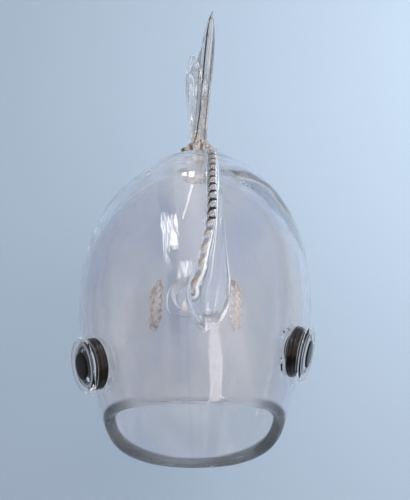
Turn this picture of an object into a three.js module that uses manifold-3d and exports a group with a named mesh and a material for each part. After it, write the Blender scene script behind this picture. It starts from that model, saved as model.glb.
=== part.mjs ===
// Hand-blown clear glass fish bowl (an open-mouthed fish vase) that stands on two pinched
// belly fins and a ground belly pad. Millimetres, +Z up, floor at z = 0, mouth towards -Y,
// tail towards +Y, dorsal fin up, "left" at -X. The origin is the middle of the ground spot
// it rests on. Every hot-applied bit of glass is its own solid.
//
// The fish is built in its own frame and then tilted mouth-up as one group. In that frame the
// axis of the blown body runs along Y: y = station - AXIS_ORIGIN, where the station counts
// from the mouth to the tail pole, and +Z points to the dorsal fin.
import * as THREE from "three";
import { mergeVertices } from "three/addons/utils/BufferGeometryUtils.js";
import { ParametricGeometry } from "three/addons/geometries/ParametricGeometry.js";
import Module from "manifold-3d";

const wasm = await Module();
wasm.setup();

const { degToRad, radToDeg } = THREE.MathUtils;
const TURN = 2 * Math.PI;

// ---- placing and clearance ----
const GAP = 0.3; // clearance between a body and the glass applied to it
const TILT = degToRad(6); // the fish rests with its mouth lifted
const BELLY_HEIGHT = 65.7; // height of the fish frame's origin over the floor
const AXIS_ORIGIN = 101.2; // station of the fish frame's origin
const BEND = 0.00029; // sideways sag: x offset per (station - BEND_FROM)^2
const BEND_FROM = 50;

// ---- curves ----
// Monotone cubic through [position, value] points, clamped outside them. The far end is
// steepened to close domes roundly, unless both ends are level.
const END_STEEPENING = 1.6;
function curve(points, levelEnds = false) {
  const last = points.length - 1;
  const places = points.map((point) => point[0]);
  const values = points.map((point) => point[1]);
  const widths = [];
  const grades = [];
  for (let i = 0; i < last; i++) {
    widths.push(places[i + 1] - places[i]);
    grades.push((values[i + 1] - values[i]) / widths[i]);
  }
  const tangents = new Array(last + 1).fill(0);
  for (let i = 1; i < last; i++) {
    if (grades[i - 1] * grades[i] > 0) {
      const before = 2 * widths[i] + widths[i - 1];
      const after = widths[i] + 2 * widths[i - 1];
      tangents[i] = (before + after) / (before / grades[i - 1] + after / grades[i]);
    }
  }
  if (!levelEnds) {
    tangents[0] = grades[0];
    tangents[last] = grades[last - 1] * END_STEEPENING;
  }
  return (place) => {
    const clamped = Math.min(Math.max(place, places[0]), places[last]);
    let i = 0;
    while (i < last - 1 && clamped >= places[i + 1]) i++;
    const part = (clamped - places[i]) / widths[i];
    const square = part * part;
    const cube = square * part;
    return (2 * cube - 3 * square + 1) * values[i] +
      (cube - 2 * square + part) * widths[i] * tangents[i] +
      (-2 * cube + 3 * square) * values[i + 1] +
      (cube - square) * widths[i] * tangents[i + 1];
  };
}

// Power that keeps the sign: squares off a circle's sine or cosine.
function signedPower(value, power) {
  return Math.abs(value) < 1e-6 ? 0 : Math.sign(value) * Math.abs(value) ** power;
}
// Quarter-circle fade: 1 up to part = 0, 0 from part = 1.
const fade = (part) => Math.sqrt(Math.max(0, 1 - Math.max(0, part) ** 2));
// Fade at both ends of 0..1; a higher power keeps more of the middle full.
const fadeEnds = (along, power) => Math.sqrt(1 - Math.abs(2 * along - 1) ** power);
// 0 to 1 and back in one turn, from a blade's root to its edge
const reachAt = (angle) => (1 - Math.cos(angle)) / 2;

// ---- solids ----
const MERGE_TOLERANCE = 2e-4;

// Welds a closed geometry and turns its faces outwards.
function solid(source, transform = new THREE.Matrix4()) {
  source.deleteAttribute("normal");
  source.deleteAttribute("uv");
  source.applyMatrix4(transform);
  const welded = mergeVertices(source, MERGE_TOLERANCE);
  const position = welded.getAttribute("position");
  const index = welded.getIndex();
  const corners = [0, 1, 2].map(() => new THREE.Vector3());
  const triangles = [];
  let volume = 0;
  for (let i = 0; i < index.count; i += 3) {
    const triangle = [index.getX(i), index.getX(i + 1), index.getX(i + 2)];
    if (new Set(triangle).size < 3) continue;
    triangles.push(triangle);
    corners.forEach((corner, j) => corner.fromBufferAttribute(position, triangle[j]));
    volume += corners[0].dot(corners[1].cross(corners[2]));
  }
  if (volume < 0) triangles.forEach((triangle) => triangle.reverse());
  return new wasm.Manifold(new wasm.Mesh({
    numProp: 3,
    vertProperties: Float32Array.from(position.array),
    triVerts: Uint32Array.from(triangles.flat()),
  }));
}

// Solid from a function (along, around), both 0..1, that returns [x, y, z].
function surface(pointAt, slices, stacks) {
  const write = (along, around, target) => target.set(...pointAt(along, around));
  return solid(new ParametricGeometry(write, slices, stacks));
}

// Solid of revolution about Y from [radius, height] points.
function turned(profile, segments, transform) {
  const points = profile.map(([radius, height]) => new THREE.Vector2(radius, height));
  return solid(new THREE.LatheGeometry(points, segments), transform);
}

// Profile points on an arc, angles in degrees.
function arc(centreRadius, centreHeight, radius, from, to, steps) {
  return Array.from({ length: steps + 1 }, (_, i) => {
    const angle = degToRad(from + ((to - from) * i) / steps);
    return [centreRadius + radius * Math.cos(angle), centreHeight + radius * Math.sin(angle)];
  });
}

// ---- blown body ----
const BODY_START = -9;
const BODY_LENGTH = 161.4; // mouth plane to tail pole
// station, outer radius
const OUTER = [
  [BODY_START, 37.6], [-5, 39.3], [0, 41.3], [5, 43.2], [10, 45.1], [20, 48.8], [30, 52.3],
  [40, 55.3], [50, 57.7], [60, 59.4], [70, 60.1], [80, 59.9], [90, 58.9], [100, 57.0],
  [110, 54.0], [120, 49.6], [130, 43.3], [140, 34.8], [150, 23.4], [157, 12.6],
  [BODY_LENGTH, 0],
];
const LIP_THICKNESS = 5.9; // fire-polished lip
const LIP_FADE = 12; // length over which the lip thins into the wall
const LIP_FADE_END = 100; // station where that extra thickness stops
const WALL_THICKNESS = 3.5; // belly wall
const WALL_THICKENS_FROM = 90; // station where the wall starts to thicken towards the tail
const INNER_POLE = 152.4; // station where the hollow ends
// Saddle-shaped mouth edge: degrees over the horizontal, station
const LIP_EDGE = [
  [-90, -5.2], [-75, -5.1], [-60, -4.8], [-45, -3.9], [-30, -2.4], [-20, -0.9], [-10, 1.4],
  [0, 4.2], [10, 6.7], [20, 8.3], [35, 9.0], [50, 8.7], [70, 7.9], [90, 7.5],
];
const LIP_PART = [0.47, 0.6]; // part of the shell's outline, 0..1, that goes round the lip

const bodyRadius = curve(OUTER);
function bodySlope(station) {
  const inside = Math.min(Math.max(station, BODY_START + 0.1), BODY_LENGTH - 0.02);
  return (bodyRadius(inside + 0.01) - bodyRadius(inside - 0.01)) / 0.02;
}
// Radial length per unit of length square to the wall
const radialStretch = (station) => Math.hypot(1, bodySlope(station));

function hollowRadius(station) {
  const thickening = Math.max(0, (station - WALL_THICKENS_FROM) / 60) ** 1.5;
  const wall = WALL_THICKNESS + 5 * thickening;
  return bodyRadius(station) - wall * radialStretch(station);
}
const innerRadius = curve([
  ...[BODY_START, 0, 10, 20, 30, 40, 50, 60, 70, 80, 90, 100, 110, 120, 130]
    .map((station) => [station, hollowRadius(station)]),
  [140, 26.6], [146, 17.8], [150, 9.8], [INNER_POLE, 0],
]);
const lipCurve = curve(LIP_EDGE, true);

// One outline from the outer pole, round the lip, to the inner pole.
function shellPoint(along, around) {
  const angle = TURN * around; // from the top
  const edge = lipCurve(radToDeg(Math.asin(Math.cos(angle))));
  const slope = bodySlope(edge);
  const cosine = 1 / Math.hypot(1, slope);
  const sine = slope * cosine;
  const [lipStart, lipEnd] = LIP_PART;
  let radius;
  let station;
  if (along < lipStart) {
    const part = Math.sin((Math.PI / 2) * (1 - along / lipStart));
    station = edge + (BODY_LENGTH - edge) * part;
    radius = bodyRadius(station);
  } else if (along < lipEnd) {
    const half = LIP_THICKNESS / 2;
    const turn = Math.PI * ((along - lipStart) / (lipEnd - lipStart));
    const outwards = half * Math.cos(turn);
    const forwards = half * Math.sin(turn);
    radius = bodyRadius(edge) - half * cosine + outwards * cosine - forwards * sine;
    station = edge + half * sine - outwards * sine - forwards * cosine;
  } else {
    const start = edge + LIP_THICKNESS * sine;
    const part = Math.sin((Math.PI / 2) * ((along - lipEnd) / (1 - lipEnd)));
    station = start + (INNER_POLE - start) * part;
    radius = innerRadius(station);
    if (station < LIP_FADE_END) {
      const extra = (LIP_THICKNESS - WALL_THICKNESS) * Math.exp(-(station - start) / LIP_FADE);
      radius -= extra * radialStretch(station);
    }
  }
  if (along <= 0 || along >= 1) radius = 0;
  return [radius * Math.sin(angle), station - AXIS_ORIGIN, radius * Math.cos(angle)];
}
const bodyShell = () => surface(shellPoint, 50, 56);

// Solid body outline, grown by the clearance: it trims everything applied to the body.
function bodyTrim() {
  const profile = [];
  for (let station = BODY_START; station <= BODY_LENGTH - 0.5; station += station > 140 ? 1.1 : 4) {
    const grow = GAP / radialStretch(station);
    profile.push([
      bodyRadius(station) + grow,
      station - grow * bodySlope(station) - AXIS_ORIGIN,
    ]);
  }
  profile.unshift([0, profile[0][1]]);
  profile.push([0, BODY_LENGTH + GAP - AXIS_ORIGIN]);
  return turned(profile, 90);
}
const trim = bodyTrim();

// ---- tail: wafer collar and drawn, forked fin ----
const COLLAR_RADIUS = 10.1;
const COLLAR_X = -1.1; // the tail sits a little to one side of the pole
const COLLAR_END = 68.4; // y
// radius, y
const COLLAR_PROFILE = [
  [0, 53], [6, 53], [8.2, 57.6], [COLLAR_RADIUS, 60.4], [COLLAR_RADIUS, 61.7],
  [8.2, 63.2], [6.4, 65.6], [5.6, 68.2], [0, COLLAR_END],
];
const COLLAR_FLUTES = { count: 11, depth: 0.05 }; // depth as a share of the rim radius

function collarPoint(along, around) {
  const place = along * (COLLAR_PROFILE.length - 1);
  const i = Math.min(Math.floor(place), COLLAR_PROFILE.length - 2);
  const [radius, y] = COLLAR_PROFILE[i].map(
    (value, j) => value + (COLLAR_PROFILE[i + 1][j] - value) * (place - i),
  );
  const angle = TURN * around;
  const flute = COLLAR_FLUTES.depth * Math.cos(COLLAR_FLUTES.count * angle);
  const fluted = radius * (1 + flute * (radius / COLLAR_RADIUS));
  return [fluted * Math.sin(angle) + COLLAR_X, y, fluted * Math.cos(angle)];
}
const tailCollar = () => surface(collarPoint, 14, 33).subtract(trim);

const TAIL_ROOT = { x: -2, y: COLLAR_END + GAP, halfHeight: 4.8 };
const TAIL_CAP = 0.04; // part of the surface that closes the root
// The far edge against the height across the fan, -1 bottom to 1 top
const tailEdgeY = curve([
  [-1, 112], [-0.75, 118.2], [-0.45, 118.6], [-0.1, 107],
  [0.15, 101], [0.45, 105], [0.8, 111.5], [1, 112.5],
], true);
const tailEdgeZ = curve([
  [-1, -6], [-0.75, 6], [-0.45, 17], [-0.1, 27], [0.15, 35], [0.45, 46], [0.8, 57], [1, 61],
]);
const tailEdgeX = curve([[-1, -11], [-0.45, -8.9], [0.15, -3.5], [0.45, 0.1], [1, 3.1]]);
// part of the way out from the root, half thickness
const tailHalf = curve([
  [0, 4.6], [0.15, 4.2], [0.4, 3.8], [0.75, 4.1], [0.88, 3.5], [0.95, 2.5], [1, 1.6],
]);

function tailPoint(along, around) {
  const angle = TURN * around;
  const across = Math.cos(angle);
  const out = Math.max(0, (along - TAIL_CAP) / (1 - TAIL_CAP));
  // each rib is a quadratic curve from the root through a pull point to the far edge
  const rib = (root, pull, edge) =>
    (1 - out) ** 2 * root + 2 * out * (1 - out) * pull + out ** 2 * edge;
  const y = rib(TAIL_ROOT.y, 86 - 3 * Math.abs(across) - 2 * across, tailEdgeY(across));
  const z = rib(TAIL_ROOT.halfHeight * across, 5 + 15 * across, tailEdgeZ(across));
  const x = TAIL_ROOT.x + 1.3 * across * (1 - out) +
    out ** 1.2 * (tailEdgeX(across) - TAIL_ROOT.x);
  if (along <= 0) return [x, y, 0];
  const ripple = 1 + 0.15 * Math.cos(TURN * 2.5 * across) * Math.min(1, out * 2.5);
  const half = tailHalf(out) * ripple * fade((out - 0.92) / 0.08);
  return [x + half * signedPower(Math.sin(angle), 0.55), y, z];
}
const tailFin = () => surface(tailPoint, 22, 28);

// ---- dorsal fin ----
const FIN_FROM = 32.6; // stations
const FIN_TO = 139;
const FIN_SINK = 3; // how far the root starts under the body's surface
// station, x of the root
const finBase = curve([
  [32.6, 4.4], [36, 5.0], [41, 6.4], [50, 7.2], [55, 7.5], [60, 8.1], [70, 9.0],
  [80, 9.3], [92, 9.2], [110, 8.5], [127, 7.2], [138, 6.2], [146, 5.4],
]);
// station, half thickness of the root before its flare
const finHalf = curve([
  [32.6, 2.6], [36, 4.6], [41, 7.2], [45, 8.7], [50, 9.6], [55, 9.3], [60, 8.2],
  [66, 6.8], [76, 5.1], [92, 4.0], [110, 3.5], [127, 3.3], [138, 2.2], [146, 1.5],
]);
// station, height over the body
const finHeight = curve([
  [32.6, 1.2], [36, 2.6], [41, 5], [47, 9], [54, 12.5], [60, 14.5], [76, 16],
  [92, 15.8], [110, 14], [127, 10.5], [134, 7], [139, 3.5], [146, 2.4],
]);
// station, x of the crest
const crestX = curve([
  [32.6, 4.4], [36, 3.4], [38, 2.3], [41, 0.8], [45, -0.6], [50, -0.7], [54, 1.1],
  [58, 2.7], [64, 3.9], [70, 5.3], [80, 7.1], [90, 7.5], [100, 7.3], [110, 7.2],
  [120, 7.1], [128, 6.9], [138, 6.1], [146, 5.4],
]);
// z of the body's surface under the fin's root
const finRootZ = (station) =>
  Math.sqrt(Math.max(bodyRadius(station) ** 2 - finBase(station) ** 2, 0));

function finPoint(along, around) {
  const station = FIN_FROM + (FIN_TO - FIN_FROM) * along;
  const angle = TURN * around;
  const end = fade(Math.max(1 - along / 0.07, (along - 0.96) / 0.04));
  const reach = reachAt(angle);
  const half = 1.5 * finHalf(station) * (1 - reach) ** 1.15 + 2 * reach;
  const lean = (crestX(station) - finBase(station)) * reach ** 1.25;
  return [
    finBase(station) + (lean + signedPower(Math.sin(angle), 0.75) * half) * end,
    station - AXIS_ORIGIN,
    finRootZ(station) - FIN_SINK + (finHeight(station) + FIN_SINK) * reach * end,
  ];
}
const dorsalFin = () => surface(finPoint, 38, 14).subtract(trim).subtract(trailClearance());

// ---- twisted trail on the dorsal crest: thick and tight at the tail, thin at the front ----
const TRAIL_FROM = 47; // stations
const TRAIL_TO = 145;
const TRAIL_EMBED = 0.5; // its centre lies this far under the crest
const TRAIL_LOBE = 0.15; // the twist's swell, as a share of the radius
const TRAIL_END = 0.012; // rounded part at each end
const TWIST_STEP = 0.25;
const trailRadius = curve([[43, 1.2], [60, 1.35], [85, 1.85], [145, 1.9]]);
const trailPitch = curve([[43, 8.4], [60, 7], [85, 4.8], [145, 4.5]]);

// twist angle summed up along the trail, one entry per TWIST_STEP
const twistSums = [0];
for (let station = TRAIL_FROM; station < TRAIL_TO + 1; station += TWIST_STEP) {
  twistSums.push(twistSums.at(-1) + (TURN * TWIST_STEP) / trailPitch(station));
}
function twistAt(station) {
  const place = Math.max(0, (station - TRAIL_FROM) / TWIST_STEP);
  const i = Math.min(Math.floor(place), twistSums.length - 2);
  return twistSums[i] + (twistSums[i + 1] - twistSums[i]) * (place - i);
}
const trailCentre = (station) => new THREE.Vector3(
  crestX(station),
  station - AXIS_ORIGIN,
  finRootZ(station) + finHeight(station) - TRAIL_EMBED,
);

// Tube along the crest that closes to a point at both ends.
function crestTube(radiusAt, slices, stacks, from, to) {
  return surface((along, around) => {
    const station = from + (to - from) * along;
    const angle = TURN * around;
    const tangent = trailCentre(station + 0.2).sub(trailCentre(station - 0.2)).normalize();
    const side = new THREE.Vector3(1, 0, 0).addScaledVector(tangent, -tangent.x).normalize();
    const up = side.clone().cross(tangent);
    const radius = along <= 0 || along >= 1 ? 0 : radiusAt(station, angle, along);
    return trailCentre(station)
      .addScaledVector(side, radius * Math.cos(angle))
      .addScaledVector(up, radius * Math.sin(angle));
  }, slices, stacks);
}
function crestTrail() {
  const radiusAt = (station, angle, along) => {
    const end = fade(Math.max(1 - along / TRAIL_END, (along - 1 + TRAIL_END) / TRAIL_END));
    const lobe = 1 + TRAIL_LOBE * Math.cos(twistAt(station) + angle);
    return trailRadius(station) * Math.max(end, 0.25) * lobe;
  };
  return crestTube(radiusAt, 110, 8, TRAIL_FROM, TRAIL_TO).subtract(trim);
}
// Groove that the trail lies in
function trailClearance() {
  const radiusAt = (station) => trailRadius(station) * 1.16 + GAP;
  return crestTube(radiusAt, 34, 10, TRAIL_FROM - 1.5, TRAIL_TO + 1.5);
}

// ---- floor, in the fish frame ----
const toFish = new THREE.Matrix4().makeRotationX(-TILT).setPosition(0, 0, BELLY_HEIGHT).invert();
const floorZ = (y) => (-BELLY_HEIGHT + y * Math.sin(TILT)) / Math.cos(TILT);
const below = solid(new THREE.BoxGeometry(300, 300, 40).translate(0, 0, -20), toFish);

// ---- belly fins: pleated feet ----
const FOOT_X = 22.5; // at the body
const FOOT_SPLAY = 4.5; // how much further out at the floor
const FOOT_FROM = 78.5; // stations
const FOOT_TO = 107.5;
const PLEAT = { pitch: 4.7, depth: 1.25 };

function bellyFin(side) {
  const footPoint = (along, around) => {
    const angle = TURN * around;
    const reach = reachAt(angle);
    const part = 0.5 + (along - 0.5) * (0.92 + 0.12 * reach);
    const station = FOOT_FROM + (FOOT_TO - FOOT_FROM) * part;
    const y = station - AXIS_ORIGIN;
    const top = -Math.sqrt(bodyRadius(station) ** 2 - FOOT_X ** 2) + 3;
    const low = floorZ(y) - 1.6;
    const wave = PLEAT.depth * Math.sin((TURN * station) / PLEAT.pitch) * (0.3 + 0.7 * reach);
    const half = (3.1 - 0.5 * reach) * fadeEnds(along, 5);
    const offset = signedPower(Math.sin(angle), 0.7) * half;
    return [
      side * (FOOT_X + FOOT_SPLAY * reach + wave + offset),
      y,
      top + (low - top) * reach,
    ];
  };
  return surface(footPoint, 34, 12).subtract(trim).subtract(below);
}

// ---- belly pad: a strap across the belly with a button ground flat at the floor ----
const PAD_X = -5.3; // middle of the ground spot
const PAD_Y = -1.5;
const PAD_RADIUS = 8.5;
const PAD_TILTED_Y = PAD_Y * Math.cos(TILT) + floorZ(PAD_Y) * Math.sin(TILT);
const STRAP = { station: 95.5, halfLength: 11, halfThickness: 2.6, lift: 0.6, halfAngle: 18.5 };

function strapPoint(along, around) {
  const sweep = degToRad(STRAP.halfAngle * (2 * along - 1));
  const angle = TURN * around;
  const end = fadeEnds(along, 8);
  const station = STRAP.station + STRAP.halfLength * signedPower(Math.cos(angle), 0.6) * end;
  const radius = bodyRadius(station) + STRAP.lift +
    STRAP.halfThickness * signedPower(Math.sin(angle), 0.8) * end;
  return [radius * Math.sin(sweep), station - AXIS_ORIGIN, -radius * Math.cos(sweep)];
}
function bellyPad() {
  const profile = [
    [0, 0], ...arc(PAD_RADIUS - 0.6, 1.4, 1, -70, 10, 3), [10.2, 6.5], [11.8, 11], [0, 11],
  ];
  const upright = new THREE.Matrix4().makeRotationX(Math.PI / 2);
  const place = toFish.clone()
    .multiply(new THREE.Matrix4().makeTranslation(PAD_X, PAD_TILTED_Y, -0.5))
    .multiply(upright);
  const button = turned(profile, 28, place);
  return surface(strapPoint, 16, 12).add(button).subtract(trim).subtract(below);
}

// ---- eyes: profiles of [radius, height over the body] ----
// lift: degrees over the horizontal; droop: degrees the face sags; pressed: depth set in
const EYES = [
  { name: "left", side: -1, station: 29.8, lift: 27.5, droop: 0, pressed: 0 },
  { name: "right", side: 1, station: 35.4, lift: 27.5, droop: 14.5, pressed: 1 },
];
const EYE_RADIUS = 13.3; // clear lens
const EYE_HEIGHT = 7.4; // lens face
const EYE_ROOT = -6; // sunk into the body, then trimmed off
const WRAP_TOP = 4; // top of the dark trail wound round the lens's neck
const NECK_RADIUS = 8;
const LENS_BASE = WRAP_TOP + GAP;
const PUPIL_RADIUS = 6.6;
const PUPIL_SEAT = EYE_HEIGHT - 1.8; // floor of the lens's recess

const WRAP_PROFILE = [
  [NECK_RADIUS + GAP, EYE_ROOT], [10.6, EYE_ROOT], [11, -1.2],
  ...arc(10.4, WRAP_TOP - 2.1, 1.9, -25, 45, 4),
  ...arc(10.3, WRAP_TOP - 1.9, 1.9, 55, 90, 3),
  [NECK_RADIUS + GAP, WRAP_TOP], [NECK_RADIUS + GAP, EYE_ROOT],
];
const LENS_PROFILE = [
  [0, EYE_ROOT], [NECK_RADIUS, EYE_ROOT], [NECK_RADIUS, LENS_BASE],
  [EYE_RADIUS - 1.9, LENS_BASE],
  ...arc(EYE_RADIUS - 1.6, LENS_BASE + 1.6, 1.6, -80, 62, 7),
  [10.2, EYE_HEIGHT - 0.3], [8.6, EYE_HEIGHT - 0.02],
  [PUPIL_RADIUS + GAP, EYE_HEIGHT + 0.05], [PUPIL_RADIUS + GAP, PUPIL_SEAT], [0, PUPIL_SEAT],
];
const PUPIL_PROFILE = [
  [0, PUPIL_SEAT + GAP], [PUPIL_RADIUS - 0.3, PUPIL_SEAT + GAP],
  [PUPIL_RADIUS, EYE_HEIGHT - 1.2], [PUPIL_RADIUS, EYE_HEIGHT - 0.3],
  ...arc(PUPIL_RADIUS - 0.8, EYE_HEIGHT - 0.4, 0.8, 15, 80, 3),
  [3, EYE_HEIGHT + 0.6], [0, EYE_HEIGHT + 0.7],
];

// Stands an eye's Y axis on the body, facing out.
function eyeMatrix({ side, station, lift, droop, pressed }) {
  const seat = degToRad(lift);
  const face = degToRad(lift - droop);
  const radius = bodyRadius(station);
  const normal = new THREE.Vector3(
    side * Math.cos(face), -bodySlope(station), Math.sin(face),
  ).normalize();
  const centre = new THREE.Vector3(
    side * radius * Math.cos(seat), station - AXIS_ORIGIN, radius * Math.sin(seat),
  ).addScaledVector(normal, -pressed);
  const forward = new THREE.Vector3(0, -1, 0);
  forward.addScaledVector(normal, -forward.dot(normal)).normalize();
  return new THREE.Matrix4()
    .makeBasis(forward, normal, forward.clone().cross(normal))
    .setPosition(centre);
}

// ---- materials ----
const CLEAR = 0xdfe6ea;
const FIN_CLEAR = 0xdde3e8;
const glass = (color, opacity = 0.4) => new THREE.MeshStandardMaterial({
  color, opacity, roughness: 0.03, metalness: 0, transparent: true,
});

// ---- assembly ----
// Sideways sag of the body, running on straight past the tail pole
function bend(station) {
  if (station <= BEND_FROM) return 0;
  const bent = Math.min(station, BODY_LENGTH) - BEND_FROM;
  const past = Math.max(0, station - BODY_LENGTH);
  return BEND * bent ** 2 + 2 * BEND * bent * past;
}
function bentGeometry(manifold) {
  const mesh = manifold.getMesh();
  const positions = Float32Array.from(mesh.vertProperties);
  for (let i = 0; i < positions.length; i += 3) {
    positions[i] += bend(positions[i + 1] + AXIS_ORIGIN);
  }
  const geometry = new THREE.BufferGeometry();
  geometry.setAttribute("position", new THREE.BufferAttribute(positions, 3));
  geometry.setIndex([...mesh.triVerts]);
  geometry.computeVertexNormals();
  return geometry;
}

const fish = new THREE.Group();
fish.rotation.x = -TILT;
// brings the middle of the ground spot to the origin
fish.position.set(-(PAD_X + bend(PAD_Y + AXIS_ORIGIN)), -PAD_TILTED_Y, BELLY_HEIGHT);

function addPiece(name, manifold, material) {
  const mesh = new THREE.Mesh(bentGeometry(manifold), material);
  mesh.name = name;
  fish.add(mesh);
}
addPiece("body_shell", bodyShell(), glass(CLEAR));
addPiece("tail_collar", tailCollar(), glass(0xd9d2cc));
addPiece("tail_fin", tailFin(), glass(FIN_CLEAR));
addPiece("dorsal_fin", dorsalFin(), glass(FIN_CLEAR));
addPiece("dorsal_crest_trail", crestTrail(), glass(0xb9a58c));
addPiece("belly_pad", bellyPad(), glass(0xd8dde0));
for (const { name, side } of EYES) {
  addPiece(`${name}_belly_fin`, bellyFin(side), glass(0xd9c5c0));
}
for (const eye of EYES) {
  const place = eyeMatrix(eye);
  const wrap = turned(WRAP_PROFILE, 28, place).subtract(trim);
  const lens = turned(LENS_PROFILE, 30, place).subtract(trim);
  addPiece(`${eye.name}_eye_wrap`, wrap, glass(0x1c1713, 1));
  addPiece(`${eye.name}_eye_lens`, lens, glass(CLEAR));
  addPiece(`${eye.name}_eye_pupil`, turned(PUPIL_PROFILE, 24, place), glass(0x17150f, 1));
}

const model = new THREE.Group();
model.name = "glass_fish_bowl";
model.add(fish);
export default model;
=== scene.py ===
# Looks of a blown glass fish bowl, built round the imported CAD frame.
# The fish lies along Y, mouth at -Y and tail at +Y, its back up (+Z). It is nosed up by TILT and
# stands on the floor at z = 0, with the belly pad over the origin. "left" is the -X side.
# Pieces are shaped in the fish frame (mm, Y along the straight body axis) and taken to the row
# frame (m) when they are linked. A station is a length in mm along the axis from mouth to tail.
# Where two pieces are fused, the surfaces inside the joint are made invisible to light, so that
# the pieces refract as one mass of glass.
import math
import bpy
import bmesh
import numpy as np
from mathutils import Matrix, Vector
from mathutils.bvhtree import BVHTree


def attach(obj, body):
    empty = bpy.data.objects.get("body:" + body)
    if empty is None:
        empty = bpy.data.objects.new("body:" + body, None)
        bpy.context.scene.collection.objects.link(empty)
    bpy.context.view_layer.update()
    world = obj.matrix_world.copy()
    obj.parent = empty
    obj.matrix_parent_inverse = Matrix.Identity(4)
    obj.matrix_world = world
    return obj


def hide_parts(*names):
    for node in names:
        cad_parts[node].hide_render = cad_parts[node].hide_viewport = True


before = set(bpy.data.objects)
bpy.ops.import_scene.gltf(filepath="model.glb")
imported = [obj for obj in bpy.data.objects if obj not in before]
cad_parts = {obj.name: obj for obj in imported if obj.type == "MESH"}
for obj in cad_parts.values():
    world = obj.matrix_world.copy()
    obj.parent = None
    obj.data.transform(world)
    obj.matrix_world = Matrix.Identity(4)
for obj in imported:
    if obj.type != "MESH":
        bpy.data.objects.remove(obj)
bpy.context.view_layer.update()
scene = bpy.context.scene
MM = 0.001

# ------------------------------------------------------------------ main dimensions (mm)
TILT = math.radians(6)
BELLY_HEIGHT = 65.7  # fish frame origin over the floor
AXIS_ORIGIN = 101.2  # station of the fish frame origin
# (station, radius) of the outer surface
OUTER = [
    (-9, 37.6), (-5, 39.3), (0, 41.3), (5, 43.2), (10, 45.1), (20, 48.8), (30, 52.3),
    (40, 55.3), (50, 57.7), (60, 59.4), (70, 60.1), (80, 59.9), (90, 58.9), (100, 57.0),
    (110, 54.0), (120, 49.6), (130, 43.3), (140, 34.8), (150, 23.4), (157, 12.6), (161.4, 0),
]
MOUTH_STATION = OUTER[0][0]
BODY_LENGTH = OUTER[-1][0]
WALL_THICKNESS = 3.5
INNER_POLE = 152.4  # station where the hollow ends
BEND, BEND_FROM = 0.00029, 50  # sideways bend to +X: per mm squared, from this station
PAD_CENTRE = (-5.3, -1.5)  # x, y in the fish frame


# ------------------------------------------------------------------ curves
def curve(points, flat_ends=False):
    """Monotone cubic through (x, y) points, held at the end values outside them."""
    x, y = np.array(points, float).T
    step = np.diff(x)
    rise = np.diff(y) / step
    slopes = np.zeros(len(x))
    for i in range(1, len(x) - 1):
        if rise[i - 1] * rise[i] > 0:
            before = 2 * step[i] + step[i - 1]
            after = step[i] + 2 * step[i - 1]
            slopes[i] = (before + after) / (before / rise[i - 1] + after / rise[i])
    slopes[0], slopes[-1] = (0, 0) if flat_ends else (rise[0], rise[-1] * 1.6)

    def value(at):
        at = np.clip(np.asarray(at, float), x[0], x[-1])
        i = np.clip(np.searchsorted(x, at, "right") - 1, 0, len(x) - 2)
        part = (at - x[i]) / step[i]
        square = part * part
        cube = part * part * part
        return ((2 * cube - 3 * square + 1) * y[i]
                + (cube - 2 * square + part) * step[i] * slopes[i]
                + (-2 * cube + 3 * square) * y[i + 1]
                + (cube - square) * step[i] * slopes[i + 1])
    return value


body_radius = curve(OUTER)


def body_slope(station):
    """Change of the outer radius per mm of station."""
    at = np.clip(station, MOUTH_STATION + 0.1, BODY_LENGTH - 0.02)
    return (body_radius(at + 0.01) - body_radius(at - 0.01)) / 0.02


def hollow_radius(station):
    """Outer radius less the wall, which thickens from station 90 towards the tail."""
    wall = WALL_THICKNESS + 5 * max(0, (station - 90) / 60) ** 1.5
    return float(body_radius(station) - wall * np.hypot(1, body_slope(station)))


inner_radius = curve([(station, hollow_radius(station)) for station in (-9, *range(0, 131, 10))]
                     + [(140, 26.6), (146, 17.8), (150, 9.8), (INNER_POLE, 0)])


def bend(station):
    """Sideways shift of the axis: a parabola, carried on straight past the tail pole."""
    station = np.asarray(station, float)
    reach = BODY_LENGTH - BEND_FROM
    beyond = BEND * reach ** 2 + 2 * BEND * reach * (station - BODY_LENGTH)
    bent = np.where(station <= BODY_LENGTH, BEND * (station - BEND_FROM) ** 2, beyond)
    return np.where(station <= BEND_FROM, 0, bent)


def floor_z(y):
    """Height of the floor in the fish frame."""
    return (-BELLY_HEIGHT + y * math.sin(TILT)) / math.cos(TILT)


PAD_Y = PAD_CENTRE[1] * math.cos(TILT) + floor_z(PAD_CENTRE[1]) * math.sin(TILT)
ORIGIN_X = -(PAD_CENTRE[0] + float(bend(PAD_CENTRE[1] + AXIS_ORIGIN)))
ORIGIN_Y = -PAD_Y


def to_row(points):
    """Fish frame in mm to the row frame in metres."""
    x, y, z = points[..., 0], points[..., 1], points[..., 2]
    return np.stack([x + bend(y + AXIS_ORIGIN) + ORIGIN_X,
                     y * math.cos(TILT) + z * math.sin(TILT) + ORIGIN_Y,
                     -y * math.sin(TILT) + z * math.cos(TILT) + BELLY_HEIGHT], -1) * MM


def body_depth(point):
    """Distance over the outer surface of the blown body in mm, negative inside."""
    station = point[1] + AXIS_ORIGIN
    radius = np.hypot(point[0], point[2])
    shrink = 1 / np.hypot(1, body_slope(station))
    depth = (radius - body_radius(station)) * shrink
    if station > BODY_LENGTH - 6:
        depth = max(depth, station - BODY_LENGTH)
    return float(depth)


def signed_power(value, exponent):
    return np.sign(value) * np.abs(value) ** exponent * (np.abs(value) > 1e-6)


def round_ends(along, front, rear):
    """1 along a piece, falling to 0 as a quarter ellipse over these shares of its ends."""
    past = np.maximum(1 - along / front, (along - (1 - rear)) / rear)
    return np.sqrt(np.maximum(0, 1 - np.maximum(0, past) ** 2))


def blunt_ends(along, exponent):
    """1 in the middle of a piece, 0 at both ends, blunter for a higher exponent."""
    return np.sqrt(np.maximum(0, 1 - np.abs(2 * along - 1) ** exponent))


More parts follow.
